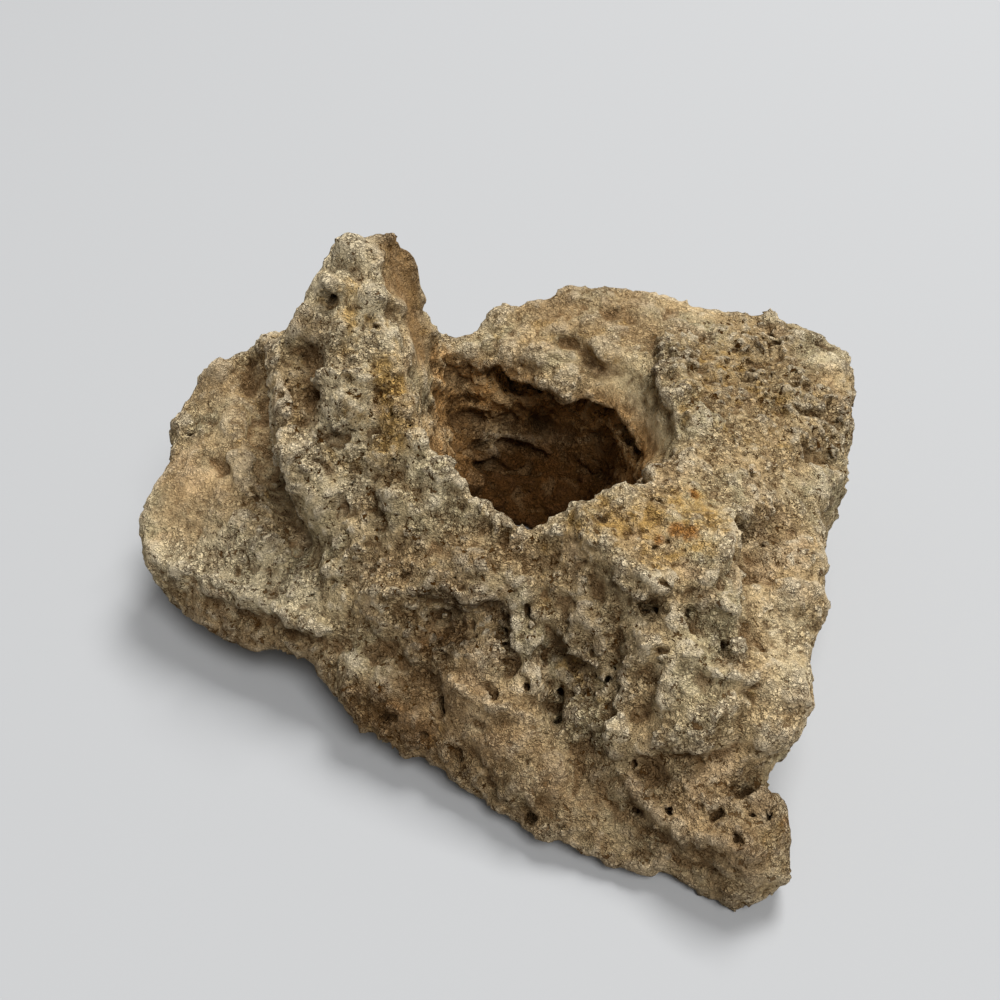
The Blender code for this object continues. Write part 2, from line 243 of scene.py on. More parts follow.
# Lumps that show one by one: the photograph's pixel, the width in pixels and the rise in mm
lumpValues = {
    "cap": [
        (350, 252, 42, 4.2), (371, 254, 34, 1.8), (333, 283, 26, 2.8), (306, 312, 30, 1.4),
        (396, 311, 34, 1.4), (370, 302, 30, 1.2), (340, 322, 34, 1.2), (420, 300, 20, 1.2),
        (430, 331, 14, 2),
    ],
    "peakFront": [
        (343, 404, 70, 3.6), (330, 388, 40, 2), (398, 366, 30, 1.6), (405, 408, 30, 1.6),
        (418, 437, 28, 1.4), (383, 452, 34, 1.6), (312, 456, 48, 2.4), (347, 456, 36, 1.4),
        (392, 499, 36, 2.8), (333, 482, 40, 1.6), (304, 474, 34, 1.4), (284, 408, 22, 1.8),
        (283, 424, 20, 1.8), (288, 440, 26, 1.4), (302, 330, 40, 1.4), (360, 352, 34, 1.2),
        (396, 338, 30, 1.2), (354, 528, 50, 1.6), (419, 538, 44, 1.2), (420, 500, 34, 1.4),
        (429, 474, 20, 1.8), (441, 500, 26, 1),
    ],
    "lobe": [
        (222, 372, 38, 3.2), (208, 384, 26, 1.2), (268, 348, 32, 3.6), (204, 396, 30, 1.4),
        (178, 425, 32, 1.4), (246, 459, 44, 2.2), (238, 425, 40, 1.6), (232, 482, 36, 1.2),
        (250, 398, 34, 1.2), (152, 547, 28, 1.6), (154, 565, 24, 1.2), (180, 572, 34, 1.6),
        (217, 584, 40, 1.6), (250, 596, 40, 1.6), (285, 612, 40, 1.4), (316, 628, 34, 1.4),
        (260, 628, 26, 1.4), (225, 615, 26, 1), (300, 585, 50, 1.4), (330, 570, 44, 1.2),
        (270, 540, 40, 1), (340, 600, 40, 1.2),
    ],
    "apron": [
        (470, 560, 80, 1.8), (432, 568, 60, 1.6), (395, 560, 60, 1.2), (380, 600, 50, 1.2),
        (450, 586, 30, 1.6), (410, 592, 34, 1.2), (486, 588, 34, 1.8), (470, 612, 24, 1),
        (418, 642, 40, 1.2), (390, 630, 40, 1.2), (482, 662, 56, 2), (450, 652, 40, 1.2),
        (470, 690, 60, 1.4), (510, 705, 60, 1.4), (520, 580, 44, 2.2), (556, 579, 38, 2.8),
        (541, 610, 36, 1.4), (524, 642, 44, 2.2), (532, 676, 40, 1.6), (526, 548, 36, 1.2),
    ],
    "lowSide": [
        (355, 664, 44, 2.6), (350, 690, 40, 1.8), (378, 682, 40, 1.4), (362, 720, 28, 1.6),
        (384, 732, 26, 1.6), (405, 722, 34, 1.2), (410, 742, 24, 1.4), (445, 758, 24, 1.4),
        (470, 776, 26, 1.4), (500, 802, 24, 1.4), (515, 787, 20, 1.2), (542, 836, 26, 1.2),
        (560, 826, 30, 1.2), (540, 770, 60, 1.4), (500, 740, 70, 1.4),
    ],
    "gully": [
        (587, 620, 54, 2.8), (560, 534, 30, 2.4), (585, 585, 40, 1.6), (575, 720, 44, 2.8),
        (597, 736, 36, 1.6), (560, 740, 28, 1.4), (600, 650, 28, 1.2), (612, 606, 34, 1.4),
    ],
    "terrace": [
        (590, 512, 44, 1.2), (625, 502, 50, 1.2), (670, 506, 50, 1), (600, 541, 44, 1.2),
        (640, 541, 50, 0.8), (700, 516, 50, 1), (724, 541, 44, 1.8), (700, 561, 44, 1.4),
        (655, 571, 40, 1.4), (768, 502, 40, 1.6), (750, 490, 40, 1.2),
    ],
    "kneeFront": [
        (622, 582, 30, 1.6), (640, 597, 22, 1.4), (676, 618, 30, 2.2), (700, 597, 30, 1.6),
        (724, 604, 34, 2.6), (714, 634, 20, 1.6), (735, 650, 26, 3.4), (645, 642, 38, 2.6),
        (686, 651, 46, 2.6), (662, 692, 60, 2), (636, 690, 40, 1.4), (727, 698, 60, 2),
        (703, 723, 50, 1.4), (660, 732, 50, 1.2), (622, 732, 44, 1.8), (752, 668, 44, 1.6),
    ],
    "rightSide": [
        (758, 605, 54, 2.8), (794, 595, 48, 2.6), (816, 590, 26, 2), (775, 630, 36, 1.8),
        (800, 642, 34, 1.6), (778, 684, 62, 2.8), (800, 702, 34, 1.8), (776, 735, 46, 2),
        (760, 561, 36, 1), (800, 557, 44, 1.4), (812, 531, 36, 1.4), (790, 502, 40, 1.4),
        (810, 491, 34, 1.2), (828, 486, 22, 1.4), (815, 461, 34, 1.2),
    ],
    "corner": [
        (762, 800, 44, 1.4), (784, 838, 30, 1.6), (778, 876, 34, 1.6), (700, 800, 40, 1.2),
        (720, 850, 60, 1.4), (762, 868, 48, 1.4), (690, 846, 50, 1.2), (650, 802, 40, 1.4),
        (620, 792, 50, 1.2), (640, 752, 40, 1.8), (600, 772, 50, 1.4), (660, 856, 36, 1.2),
        (702, 882, 32, 1.2), (738, 892, 32, 1.2),
    ],
    "rightTop": [
        (688, 339, 26, 1.8), (721, 334, 26, 1.6), (669, 371, 28, 2), (668, 346, 24, 1.4),
        (675, 396, 28, 2), (662, 421, 22, 1.4), (693, 384, 30, 1.4), (700, 411, 36, 1.2),
        (745, 346, 36, 1.2), (710, 366, 30, 1.2), (770, 318, 24, 1.6), (825, 366, 48, 1.8),
        (800, 342, 40, 1.2), (720, 441, 44, 1.2), (760, 431, 44, 1.2), (800, 441, 40, 1.2),
        (691, 466, 30, 1.2), (740, 471, 36, 1), (790, 396, 40, 1), (836, 402, 28, 1.4),
    ],
    "backTop": [
        (564, 390, 20, 2.6), (608, 302, 44, 1.6), (642, 310, 40, 1.4), (571, 297, 38, 1.2),
        (500, 320, 42, 2.2), (487, 336, 28, 1.2), (512, 350, 40, 1.8), (571, 377, 32, 2),
        (545, 371, 28, 1.2), (604, 352, 40, 1.8), (530, 326, 40, 1.6), (560, 330, 30, 1.6),
        (588, 320, 28, 1.4), (618, 330, 34, 1.6), (540, 350, 30, 1.6), (630, 354, 30, 1.2),
    ],
    "rim": [
        (478, 509, 28, 1.8), (500, 522, 26, 1.8), (518, 531, 22, 1.4), (545, 530, 22, 2.2),
        (556, 520, 22, 1.8), (574, 511, 24, 1.4),
    ],
    "shaftFoot": [
        (486, 501, 44, 5.5), (502, 505, 44, 6.5), (520, 507, 46, 8), (540, 507, 46, 8),
        (558, 500, 42, 5.5), (500, 488, 30, 3), (530, 490, 34, 3.5), (470, 480, 36, 2.4),
    ],
    "notchFoot": [
        (448, 352, 30, 2.4), (456, 362, 26, 2.4), (466, 350, 26, 2),
    ],
}

# The stone before its pores: the solid with its facets worn away
bodyValues = {
    "voxel": 1.2,               # mm
    "wear": 2,                  # rounds of smoothing
    "lumpFlatness": 1.5,        # a lump's half thickness, in rises
    "lumpShare": 1.35,          # how far a lump rises, as a share of its own value
    "formShare": 1.6,           # how far a ledge rises or a crease sinks, likewise
    "formWear": 1,              # rounds of smoothing after them
    "taper": 4,                 # steps over which a ledge or crease fades at its ends
}


def wornBody():
    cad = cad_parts["coral_head"]
    shape = bmesh.new()
    shape.from_mesh(cad.data)
    bmesh.ops.remove_doubles(shape, verts=shape.verts, dist=0.00001)
    mesh = bpy.data.meshes.new("worn_body")
    shape.to_mesh(mesh)
    skin = Skin(mesh)
    for across, down, width, rise in entries(lumpValues):
        hit = skin.under((across, down))
        if hit:
            addLump(shape, hit, width, rise * bodyValues["lumpShare"])
    shape.to_mesh(mesh)
    shape.free()
    body = shown("worn_body", mesh)
    melt(body, bodyValues["wear"])
    return body


def melt(body, rounds):
    # Makes one even closed mesh of what overlaps, then rubs it smooth.
    even = body.modifiers.new("even", "REMESH")
    even.mode = "VOXEL"
    even.voxel_size = bodyValues["voxel"] / mmPerMetre
    wear = body.modifiers.new("wear", "SMOOTH")
    wear.factor = 0.5
    wear.iterations = rounds
    settled(body)


def addLump(shape, hit, width, rise):
    # A flattened ball, sunk into the surface as far as leaves its rise.
    place, normal, scale = hit
    reach = width * scale / 2
    thick = max(rise * bodyValues["lumpFlatness"], reach / 2)
    stretch = Matrix.Diagonal((reach, reach, thick, 1))
    turn = normal.to_track_quat("Z", "Y").to_matrix().to_4x4()
    centre = Matrix.Translation(place - normal * (thick - rise))
    shrink = Matrix.Scale(1 / mmPerMetre, 4)
    bmesh.ops.create_icosphere(shape, subdivisions=2, radius=1, matrix=shrink @ centre @ turn @ stretch)


# Ledges and creases that show one by one: the reach and the rise in mm, and the photograph's
# pixels that it follows. A crease sinks.
formValues = {
    "peak": [
        (2.4, 1.9, [(309, 392), (313, 382), (328, 375), (345, 375), (367, 377), (372, 385)]),
        (6, -2, [(306, 346), (310, 372), (308, 400)]),
        (2.8, -1.8, [(318, 436), (340, 440), (360, 428)]),
        (6, -2.2, [(396, 243), (404, 244), (408, 252)]),
        (2.6, -2, [(320, 300), (330, 301), (342, 300)]),
        (3, 1.2, [(354, 290), (380, 296), (402, 306), (408, 318)]),
        (2.2, 1, [(418, 352), (423, 383), (435, 414), (446, 460), (466, 494)]),
        (2, -2, [(370, 478), (372, 496), (378, 516)]),
        (1.6, -1.2, [(376, 482), (392, 480), (404, 488)]),
    ],
    "lobe": [
        (6, -2.6, [(262, 384), (262, 430), (272, 463), (280, 500), (290, 530), (300, 552)]),
        (6, 3.4, [(282, 350), (290, 390), (292, 430), (306, 468), (322, 505)]),
        (2.6, 1.4, [(292, 444), (300, 474), (296, 500), (312, 520)]),
        (2.4, -1.4, [(205, 452), (222, 470), (238, 496), (262, 512)]),
        (5, -3.4, [(243, 352), (245, 362), (246, 376), (243, 392)]),
    ],
    "apron": [
        (2.4, 1.6, [(372, 588), (408, 595), (432, 584), (450, 588), (468, 596), (496, 590)]),
        (3.2, -1.7, [(428, 606), (440, 618), (462, 618), (486, 610), (502, 614)]),
        (2.6, -1.6, [(436, 628), (456, 632), (480, 624)]),
    ],
    "gully": [
        (2.6, -2, [(498, 600), (502, 628), (506, 650), (514, 676)]),
        (2.2, 1.8, [(545, 616), (562, 626), (572, 638), (584, 658), (606, 663)]),
        (3.2, -1.8, [(550, 630), (560, 644), (572, 660), (590, 676)]),
        (2.4, -1.6, [(540, 648), (548, 676), (552, 694)]),
        (2.4, -2.2, [(560, 690), (558, 706), (556, 726)]),
    ],
    "brow": [
        (2.6, 1.2, [(153, 554), (179, 569), (217, 580), (246, 592), (282, 612), (306, 625), (337, 636)]),
        (2.8, -1.6, [(196, 598), (226, 612), (262, 622), (300, 640), (330, 650)]),
    ],
    "lowSide": [
        (1.8, -1.6, [(334, 643), (358, 645), (388, 652), (412, 666), (434, 687), (444, 709)]),
        (2.6, 1.2, [(436, 670), (462, 690), (490, 706), (528, 716)]),
        (1.6, -1.2, [(388, 698), (408, 702), (428, 704)]),
        (1.8, -1.6, [(462, 742), (480, 768), (494, 806)]),
        (1.8, -1.4, [(533, 783), (544, 804), (558, 826)]),
        (1.5, -1.8, [(548, 782), (560, 789), (574, 787), (586, 778)]),
    ],
    "terrace": [
        (2.6, -2, [(586, 568), (598, 590), (604, 604)]),
        (2.6, 1.4, [(572, 505), (600, 544), (616, 566), (644, 576), (666, 586), (706, 576), (738, 546)]),
        (2.8, -2.2, [(640, 606), (656, 612), (664, 606)]),
        (2.4, -1.8, [(686, 606), (694, 618), (704, 628)]),
        (3, -2.6, [(742, 516), (745, 534), (742, 556), (738, 580)]),
    ],
    "kneeFront": [
        (1.5, -2.4, [(723, 640), (723, 652), (728, 662)]),
        (2.6, 1.4, [(700, 668), (722, 678), (752, 676), (776, 664)]),
        (2.4, -1.6, [(704, 690), (726, 684), (750, 690)]),
        (2.8, -2.2, [(748, 634), (762, 642), (776, 646)]),
        (2.8, 1.4, [(628, 640), (630, 674), (622, 712), (612, 738), (611, 758)]),
        (2.4, -1.6, [(650, 664), (646, 690), (640, 716)]),
        (2.4, -2, [(646, 750), (671, 757), (701, 768), (727, 757), (748, 744)]),
        (2.2, -1.8, [(618, 768), (638, 764), (654, 768)]),
    ],
    "corner": [
        (3, -2.6, [(726, 790), (744, 787), (762, 778), (777, 768)]),
        (2.8, 1.4, [(611, 752), (636, 790), (662, 820), (690, 836), (727, 842), (770, 856)]),
        (1.6, -1.1, [(690, 858), (720, 876), (750, 896)]),
        (1.6, -1.1, [(670, 850), (694, 874), (716, 892)]),
        (1.6, -1, [(606, 800), (640, 826), (664, 846)]),
    ],
    "shaftWall": [
        (1.8, 1.8, [(452, 408), (470, 404), (488, 412), (500, 424)]),
        (1.8, 1.8, [(446, 456), (466, 452), (484, 460), (500, 456), (516, 464)]),
        (1.8, -1.8, [(450, 418), (468, 416), (486, 424)]),
        (2, 2, [(426, 377), (440, 386), (458, 392), (474, 388)]),
        (2, -2.2, [(511, 403), (522, 410), (532, 424), (548, 440)]),
        (2, 1.8, [(486, 398), (500, 404), (514, 418), (532, 436), (544, 452)]),
        (2, 2.4, [(440, 433), (470, 433), (500, 436), (524, 446), (552, 458)]),
        (2.2, -2.6, [(446, 448), (474, 446), (500, 447), (520, 458)]),
        (3, 2.4, [(470, 484), (490, 478), (512, 484), (536, 482)]),
        (2.4, -2.6, [(466, 464), (486, 466), (512, 474), (534, 468)]),
        (16, -4, [(500, 430), (540, 436), (580, 440), (600, 456)]),
    ],
    "shaftLip": [
        (2.4, 2.2, [(487, 363), (511, 374), (530, 376), (556, 385), (568, 397), (586, 390), (604, 402)]),
        (3.4, -3.4, [(492, 376), (514, 388), (536, 392), (556, 404), (584, 402), (606, 416), (628, 442)]),
    ],
    "backTop": [
        (3, 1, [(664, 338), (660, 362), (664, 390), (676, 416), (686, 434)]),
        (2.2, -0.5, [(654, 352), (652, 378), (660, 404)]),
        (2.6, -0.6, [(678, 302), (664, 322), (656, 344)]),
        (2.6, -2.2, [(552, 342), (568, 340), (584, 350), (592, 366), (610, 374)]),
    ],
    "rightSide": [
        (3.6, -3.6, [(806, 446), (820, 452), (832, 458), (838, 462)]),
    ],
}


def model(body, skin):
    # Raises the ledges and sinks the creases.
    places = placesOf(body.data)
    taper = bodyValues["taper"]
    lift = np.zeros(len(places))
    for reach, rise, pixels in entries(formValues):
        line = skin.along(pixels)
        share = np.zeros(len(places))
        for index, (place, normal, scale) in enumerate(line):
            ending = min(1, (index + 1) / taper, (len(line) - index) / taper)
            share = np.maximum(share, ending * bell(np.linalg.norm(places - place, axis=1) / reach))
        lift += rise * bodyValues["formShare"] * share
    moveTo(body.data, places + normalsOf(body.data) * lift[:, None])
    melt(body, bodyValues["formWear"])


def bell(share):
    return np.where(share < 1, (1 - np.clip(share, 0, 1) ** 2) ** 2, 0)


# How rough the surface is round some of the photograph's pixels: the reach in mm, and how rough
zoneValues = {
    "plateau": (22, 0.5, [(175, 500), (190, 485), (205, 480)]),
    "backTop": (26, 0.7, [(530, 330), (600, 320), (660, 310)]),
    "funnel": (14, 0.4, [(620, 380), (645, 410), (660, 440)]),
    "peakInside": (14, 0.5, [(400, 290), (420, 360)]),
    "rightTop": (26, 1.9, [(720, 370), (780, 370), (820, 400)]),
    "peakFront": (24, 1.15, [(340, 420), (370, 480)]),
    "peakBase": (16, 1.2, [(340, 540), (400, 545)]),
    "lobeBack": (20, 0.75, [(215, 390), (245, 430)]),
    "apron": (16, 1.2, [(420, 560), (470, 560), (510, 560)]),
    "rightSide": (18, 0.85, [(780, 610), (780, 700)]),
    "terrace": (18, 0.85, [(660, 530), (720, 520)]),
    "cream": (11, 0.6, [(824, 356), (832, 374)]),
    "apronUnder": (14, 2.1, [(440, 625), (490, 630)]),
    "gully": (13, 1.5, [(590, 640), (580, 690), (570, 730)]),
    "cap": (11, 0.7, [(318, 276), (334, 286)]),
    "lowFront": (13, 1.4, [(380, 715), (430, 745), (480, 785)]),
    "slope": (22, 0.8, [(470, 700), (540, 770)]),
    "corner": (20, 0.9, [(700, 850), (750, 860)]),
}


def farFrom(places, line):
    # How far each place is from the line's nearest spot, in mm.
    nearest = np.full(len(places), np.inf)
    for place, normal, scale in line:
        nearest = np.minimum(nearest, np.linalg.norm(places - place, axis=1))
    return nearest


def roughness(places, skin):
    rough = np.ones(len(places))
    for reach, strength, pixels in zoneValues.values():
        rough += (strength - rough) * bell(farFrom(places, skin.along(pixels, step=12)) / reach)
    return rough


def markRoughness(body, skin):
    # Stores each vertex's normal, stretched by how rough the surface is there.
    rough = roughness(placesOf(body.data), skin)
    lean = body.data.attributes.new("lean", "FLOAT_VECTOR", "POINT")
    lean.data.foreach_set("vector", (normalsOf(body.data) * rough[:, None]).ravel())


# Borings and cracks that show one by one: the width in pixels, the depth in mm, and the pixels
boringValues = {
    "gully": [
        (9, 8, [(560, 695), (559, 708), (556, 722)]), (10, 6, [(608, 679), (614, 674)]),
        (9, 3, [(571, 666)]), (8, 3, [(549, 655)]), (7, 2.5, [(579, 677)]), (7, 2.5, [(594, 702)]),
        (8, 3, [(559, 641)]),
    ],
    "foot": [
        (9, 6, [(458, 752)]), (8, 6, [(468, 755)]), (9, 6, [(530, 817)]), (7, 3, [(504, 796)]),
    ],
    "slope": [
        (9, 2.2, [(493, 691)]), (9, 2.5, [(522, 685)]),
    ],
    "apron": [
        (9, 3.5, [(435, 625)]), (8, 3.5, [(444, 631)]), (6, 3, [(435, 594)]), (6, 3, [(436, 603)]),
        (6, 3, [(454, 616), (467, 621)]), (7, 3, [(478, 618)]), (9, 3.5, [(527, 612)]),
        (7, 3, [(450, 613)]), (7, 3, [(491, 609)]), (9, 5, [(501, 630), (502, 642)]),
    ],
    "lowSide": [
        (7, 3, [(403, 687)]), (7, 3, [(384, 718)]), (6, 3, [(414, 716)]), (6, 4, [(362, 614), (361, 626)]),
        (6, 4, [(441, 702), (442, 712)]), (8, 3.5, [(422, 736)]),
    ],
    "terrace": [
        (12, 6, [(646, 611), (655, 613)]), (8, 4, [(664, 585), (671, 584)]), (5, 3.5, [(651, 494)]),
        (5, 3.5, [(655, 499)]), (5, 3.5, [(605, 515)]), (5, 3, [(586, 510)]),
        (8, 2.2, [(658, 541), (665, 543)]), (10, 5, [(745, 524), (746, 536)]),
    ],
    "kneeFront": [
        (6, 3, [(689, 608), (693, 616), (699, 622)]), (6, 4, [(660, 656), (666, 662), (665, 668)]),
        (5, 5, [(722, 642), (724, 654)]), (8, 4, [(622, 768), (632, 766)]),
    ],
    "corner": [
        (8, 5, [(714, 816)]), (9, 5, [(740, 788), (747, 785)]), (5, 4, [(764, 819), (772, 815)]),
        (6, 2.5, [(634, 814)]), (6, 2.5, [(664, 814)]), (6, 3, [(737, 842)]), (7, 2.5, [(675, 869)]),
    ],
    "peak": [
        (8, 4, [(323, 294), (330, 297)]), (7, 2.5, [(358, 426)]), (10, 4, [(428, 460)]),
    ],
    "lobe": [
        (8, 5, [(296, 553), (300, 547), (305, 541)]), (8, 3, [(257, 492)]), (6, 2.5, [(189, 433)]),
    ],
    "rightTop": [
        (7, 3, [(755, 370)]), (8, 4, [(733, 390)]), (6, 3, [(748, 386)]), (6, 3, [(741, 405)]),
        (6, 3, [(779, 406)]), (7, 2.5, [(770, 335)]), (7, 3, [(695, 350)]), (6, 2.5, [(774, 430)]),
        (6, 3, [(743, 452)]),
    ],
    "shaftLip": [
        (8, 2.2, [(550, 311)]),
        (17, 7, [(494, 374), (514, 386), (536, 392), (556, 403), (574, 410), (590, 406), (606, 418),
            (622, 436), (634, 456)]),
    ],
    "shaftWall": [
        (12, 5, [(590, 430), (604, 444)]), (12, 5, [(580, 470), (596, 476)]),
    ],
}


drillValues = {
    "leastReach": 0.6,          # mm
    "tighter": 0.2,             # mm taken off each radius, which the noise gives back
    "squareness": 1.5,          # how far a boring turns from the sight line to the surface's normal
    "start": 0.2,               # how far outside it starts, as a share of its radius
    "leastDepth": 0.1,          # mm
    "step": 0.5,                # mm from one point to the next
}


def boringPoints(skin):
    # Loose points along each boring, each with how far the stone is gone round it, in metres.
    places = []
    reaches = []
    for width, depth, pixels in entries(boringValues):
        for place, normal, scale in skin.along(pixels):
            reach = max(drillValues["leastReach"], width * scale / 2 - drillValues["tighter"])
            inwards = (sightLine(pixels[0]) - normal * drillValues["squareness"]).normalized()
            end = max(depth - reach, drillValues["leastDepth"])
            for step in np.arange(-drillValues["start"] * reach, end, drillValues["step"]):
                places.append((place + inwards * step) / mmPerMetre)
                reaches.append(reach / mmPerMetre)
    mesh = bpy.data.meshes.new("borings")
    mesh.from_pydata(places, [], [])
    mesh.attributes.new("reach", "FLOAT", "POINT").data.foreach_set("value", reaches)
    return shown("borings", mesh)


# The porous skin, as a solid cut out of a block of values
skinValues = {
    "Voxel": 0.9,               # mm, how finely the block is measured
    "Lump size": 6.0,           # mm, as all the sizes here
    "Lump rise": 1.2,
    "Grain size": 2.4,
    "Grain rise": 1.9,
    "Rough size": 9.0,
    "Rough rise": 4.9,
    "Pitting size": 3.4,
    "Pitting depth": 1.8,
    "Pore spacing": 3.8,
    "Pore width": 3.4,
    "Boring spacing": 9.0,
    "Boring width": 5.0,
    "Pore depth": 4.0,
    "Ledge thickness": 4.2,
    "Ledge rise": 5.0,
    "Seed": 7,
}
shaftValues = {
    "centre": (11, 20),         # mm
    "radius": 38,
    "rim": 47,                  # mm above the resting face
    "softness": 9,
}
blockValues = {
    "pad": 5,                   # mm of air round the body
    "middle": 5,                # the value at the surface, more inside and less outside
    "bendSize": 4,              # mm, the noise that bends the cells
    "bendReach": 3.5,
    "crowdSize": 24,            # mm, the noise that crowds the pores together
    "seedShift": (13, 7),       # mm along x and y for each step of the seed
    "ledgeShape": (0.34, 0.34, 1),              # makes the ledges longer than they are thick
    "rarity": {"Pore": 0.94, "Boring": 1.02},   # the higher, the fewer cells have one
    "crowding": 1.2,            # how much the crowding noise changes that
    "holeRag": 3,               # mm, how uneven the edge of a pore or boring is
    "boringRag": (8, 3),        # the same for those that show one by one, by pitting and by grain
    "pittingRarity": 0.23,
    "pittingRoughness": 0.14,   # how much less rare the pitting is where the surface is rough
    "pittingSlope": 10,         # how steep its edges are
}
mostTriangles = 194000
spikeLimit = 0.6                # mm that a vertex may stand out from its neighbours
bluntRounds = 3                 # rounds of smoothing that it is measured from


def porousTree(material):
    tree = bpy.data.node_groups.new("porous_skin", "GeometryNodeTree")
    face = tree.interface
    face.new_socket("Geometry", in_out="OUTPUT", socket_type="NodeSocketGeometry")
    kinds = {"Geometry": "Geometry", "Borings": "Object", "Low corner": "Vector", "High corner": "Vector"}
    kinds.update(dict.fromkeys(skinValues, "Float"))
    for name, kind in kinds.items():
        face.new_socket(name, in_out="INPUT", socket_type="NodeSocket" + kind)
    bench = Bench(tree)
    given = bench.node("NodeGroupInput").outputs
    value = {name: Wire(given[name]) for name in skinValues}
    body = Wire(given["Geometry"])
    metric = bench.wire("GeometryNodeInputPosition", 0)
    place = metric * mmPerMetre
    seedX, seedY = blockValues["seedShift"]
    shifted = place + bench.wire("ShaderNodeCombineXYZ", 0, {}, {
        "X": value["Seed"] * seedX, "Y": value["Seed"] * seedY})

    def named(attribute, kind):
        return bench.wire("GeometryNodeInputNamedAttribute", 0, {"data_type": kind}, {"Name": attribute})

    # How far each place is outside the worn body, in mm, and how rough the surface is there
    nearest = bench.node("GeometryNodeProximity", {"target_element": "FACES"}, {0: body}).outputs
    lean = named("lean", "FLOAT_VECTOR")
    leanThere = bench.wire("GeometryNodeSampleNearestSurface", 0, {"data_type": "FLOAT_VECTOR"}, {
        "Mesh": body, "Value": lean})
    away = metric - Wire(nearest["Position"])
    along = bench.vector("DOT_PRODUCT", {0: away, 1: leanThere}, "Value")
    rough = bench.vector("LENGTH", {0: leanThere}, "Value")
    outside = Wire(nearest["Distance"]) * along.sum("SIGN", along) * mmPerMetre

    # Lumps that meet in creases, a rough noise and a grain
    bent = bench.bent(shifted, blockValues["bendSize"], blockValues["bendReach"])
    lump = bench.cells(bent, value["Lump size"]) - 0.5
    noise = bench.noise(shifted, value["Rough size"], 3, 0.76) - 0.5
    grain = bench.cells(bent, value["Grain size"]) - 0.5
    relief = lump * value["Lump rise"] + noise * value["Rough rise"] + grain * value["Grain rise"]
    surface = outside + relief * rough

    # Thin uneven ledges round the shaft
    centre, radius, rim, softness = shaftValues.values()
    fromAxis = bench.vector("MULTIPLY", {0: place - (*centre, 0), 1: (1, 1, 0)})
    beside = bench.vector("LENGTH", {0: fromAxis}, "Value")
    height = bench.wire("ShaderNodeSeparateXYZ", "Z", {}, {"Vector": place})
    within = 1 - bench.step(beside, radius - softness, radius)
    inShaft = within * (1 - bench.step(height, rim - softness, rim))
    flattened = bench.vector("MULTIPLY", {0: bent, 1: blockValues["ledgeShape"]})
    layer = bench.noise(flattened, value["Ledge thickness"], 2, 0.5) - 0.5
    surface = surface + layer * value["Ledge rise"] * inShaft

    # Uneven pitting, no deeper than its depth
    pitting = bench.noise(shifted + (3, 5, 90), value["Pitting size"], 1, 0.5) - 0.5
    common = (rough - 1) * blockValues["pittingRoughness"]
    pitted = (pitting - blockValues["pittingRarity"] + common) * blockValues["pittingSlope"]
    surface = surface.most(pitted.least(outside + value["Pitting depth"]))

    # Pores and borings, in some of the cells and more of them where the noise is high
    crowd = bench.noise(shifted + (50, 9, 2), blockValues["crowdSize"], 1) - 0.5
    for kind, rarity in blockValues["rarity"].items():
        spacing = value[kind + " spacing"]
        cell = bench.node("ShaderNodeTexVoronoi", {}, {"Vector": bent, "Scale": 1 / spacing}).outputs
        chance = bench.wire("FunctionNodeSeparateColor", "Red", {}, {"Color": Wire(cell["Color"])})
        chance = chance + crowd * blockValues["crowding"] - rarity
        reach = chance * value[kind + " width"] * rough
        hole = reach - Wire(cell["Distance"]) * spacing + pitting * blockValues["holeRag"]
        surface = surface.most(hole.least(outside + value["Pore depth"]))

    # The borings that show one by one
    borings = bench.wire("GeometryNodeObjectInfo", "Geometry", {}, {0: Wire(given["Borings"])})
    closest = bench.wire("GeometryNodeSampleNearest", 0, {"domain": "POINT"}, {0: borings})
    spot = bench.wire("GeometryNodeSampleIndex", 0, {"data_type": "FLOAT_VECTOR"}, {
        "Geometry": borings, "Value": metric, "Index": closest})
    reach = bench.wire("GeometryNodeSampleIndex", 0, {"data_type": "FLOAT"}, {
        "Geometry": borings, "Value": named("reach", "FLOAT"), "Index": closest})
    gap = bench.vector("DISTANCE", {0: metric, 1: spot}, "Value")
    pittingRag, grainRag = blockValues["boringRag"]
    surface = surface.most((reach - gap) * mmPerMetre + pitting * pittingRag + grain * grainRag)

    # The flat resting face
    surface = surface.most(0 - height)

    # The block of values, and the surface through it
    middle = blockValues["middle"]
    corners = [Wire(given["Low corner"]), Wire(given["High corner"])]
    sides = (corners[1] - corners[0]) * mmPerMetre
    spans = bench.node("ShaderNodeSeparateXYZ", {}, {"Vector": sides}).outputs
    counts = {"Resolution " + axis: Wire(spans[axis]) / value["Voxel"] for axis in "XYZ"}
    block = bench.wire("GeometryNodeVolumeCube", 0, {}, {
        "Density": middle - surface, "Min": corners[0], "Max": corners[1], **counts})
    mesh = bench.wire("GeometryNodeVolumeToMesh", 0, {"resolution_mode": "GRID"}, {
        "Volume": block, "Threshold": middle})
    real = bench.wire("GeometryNodeRealizeInstances", 0, {}, {0: mesh})
    painted = bench.wire("GeometryNodeSetMaterial", 0, {}, {"Geometry": real, "Material": material})
    bench.node("NodeGroupOutput", {}, {0: painted})
    return tree


def porousSkin(body, borings, material):
    tree = porousTree(material)
    corners = [v.co for v in body.data.vertices]
    low = Vector([min(corner[axis] for corner in corners) for axis in range(3)])
    high = Vector([max(corner[axis] for corner in corners) for axis in range(3)])
    pad = Vector((1, 1, 1)) * (blockValues["pad"] / mmPerMetre)
    chosen = dict(skinValues)
    chosen["Borings"] = borings
    chosen["Low corner"] = low - pad
    chosen["High corner"] = high + pad
    growth = body.modifiers.new("porous_skin", "NODES")
    growth.node_group = tree
    for item in tree.interface.items_tree:
        if item.in_out == "INPUT" and item.name in chosen:
            growth[item.identifier] = chosen[item.name]
    mesh = settled(body)
    print("porous skin", len(mesh.polygons), "faces")
    return mesh


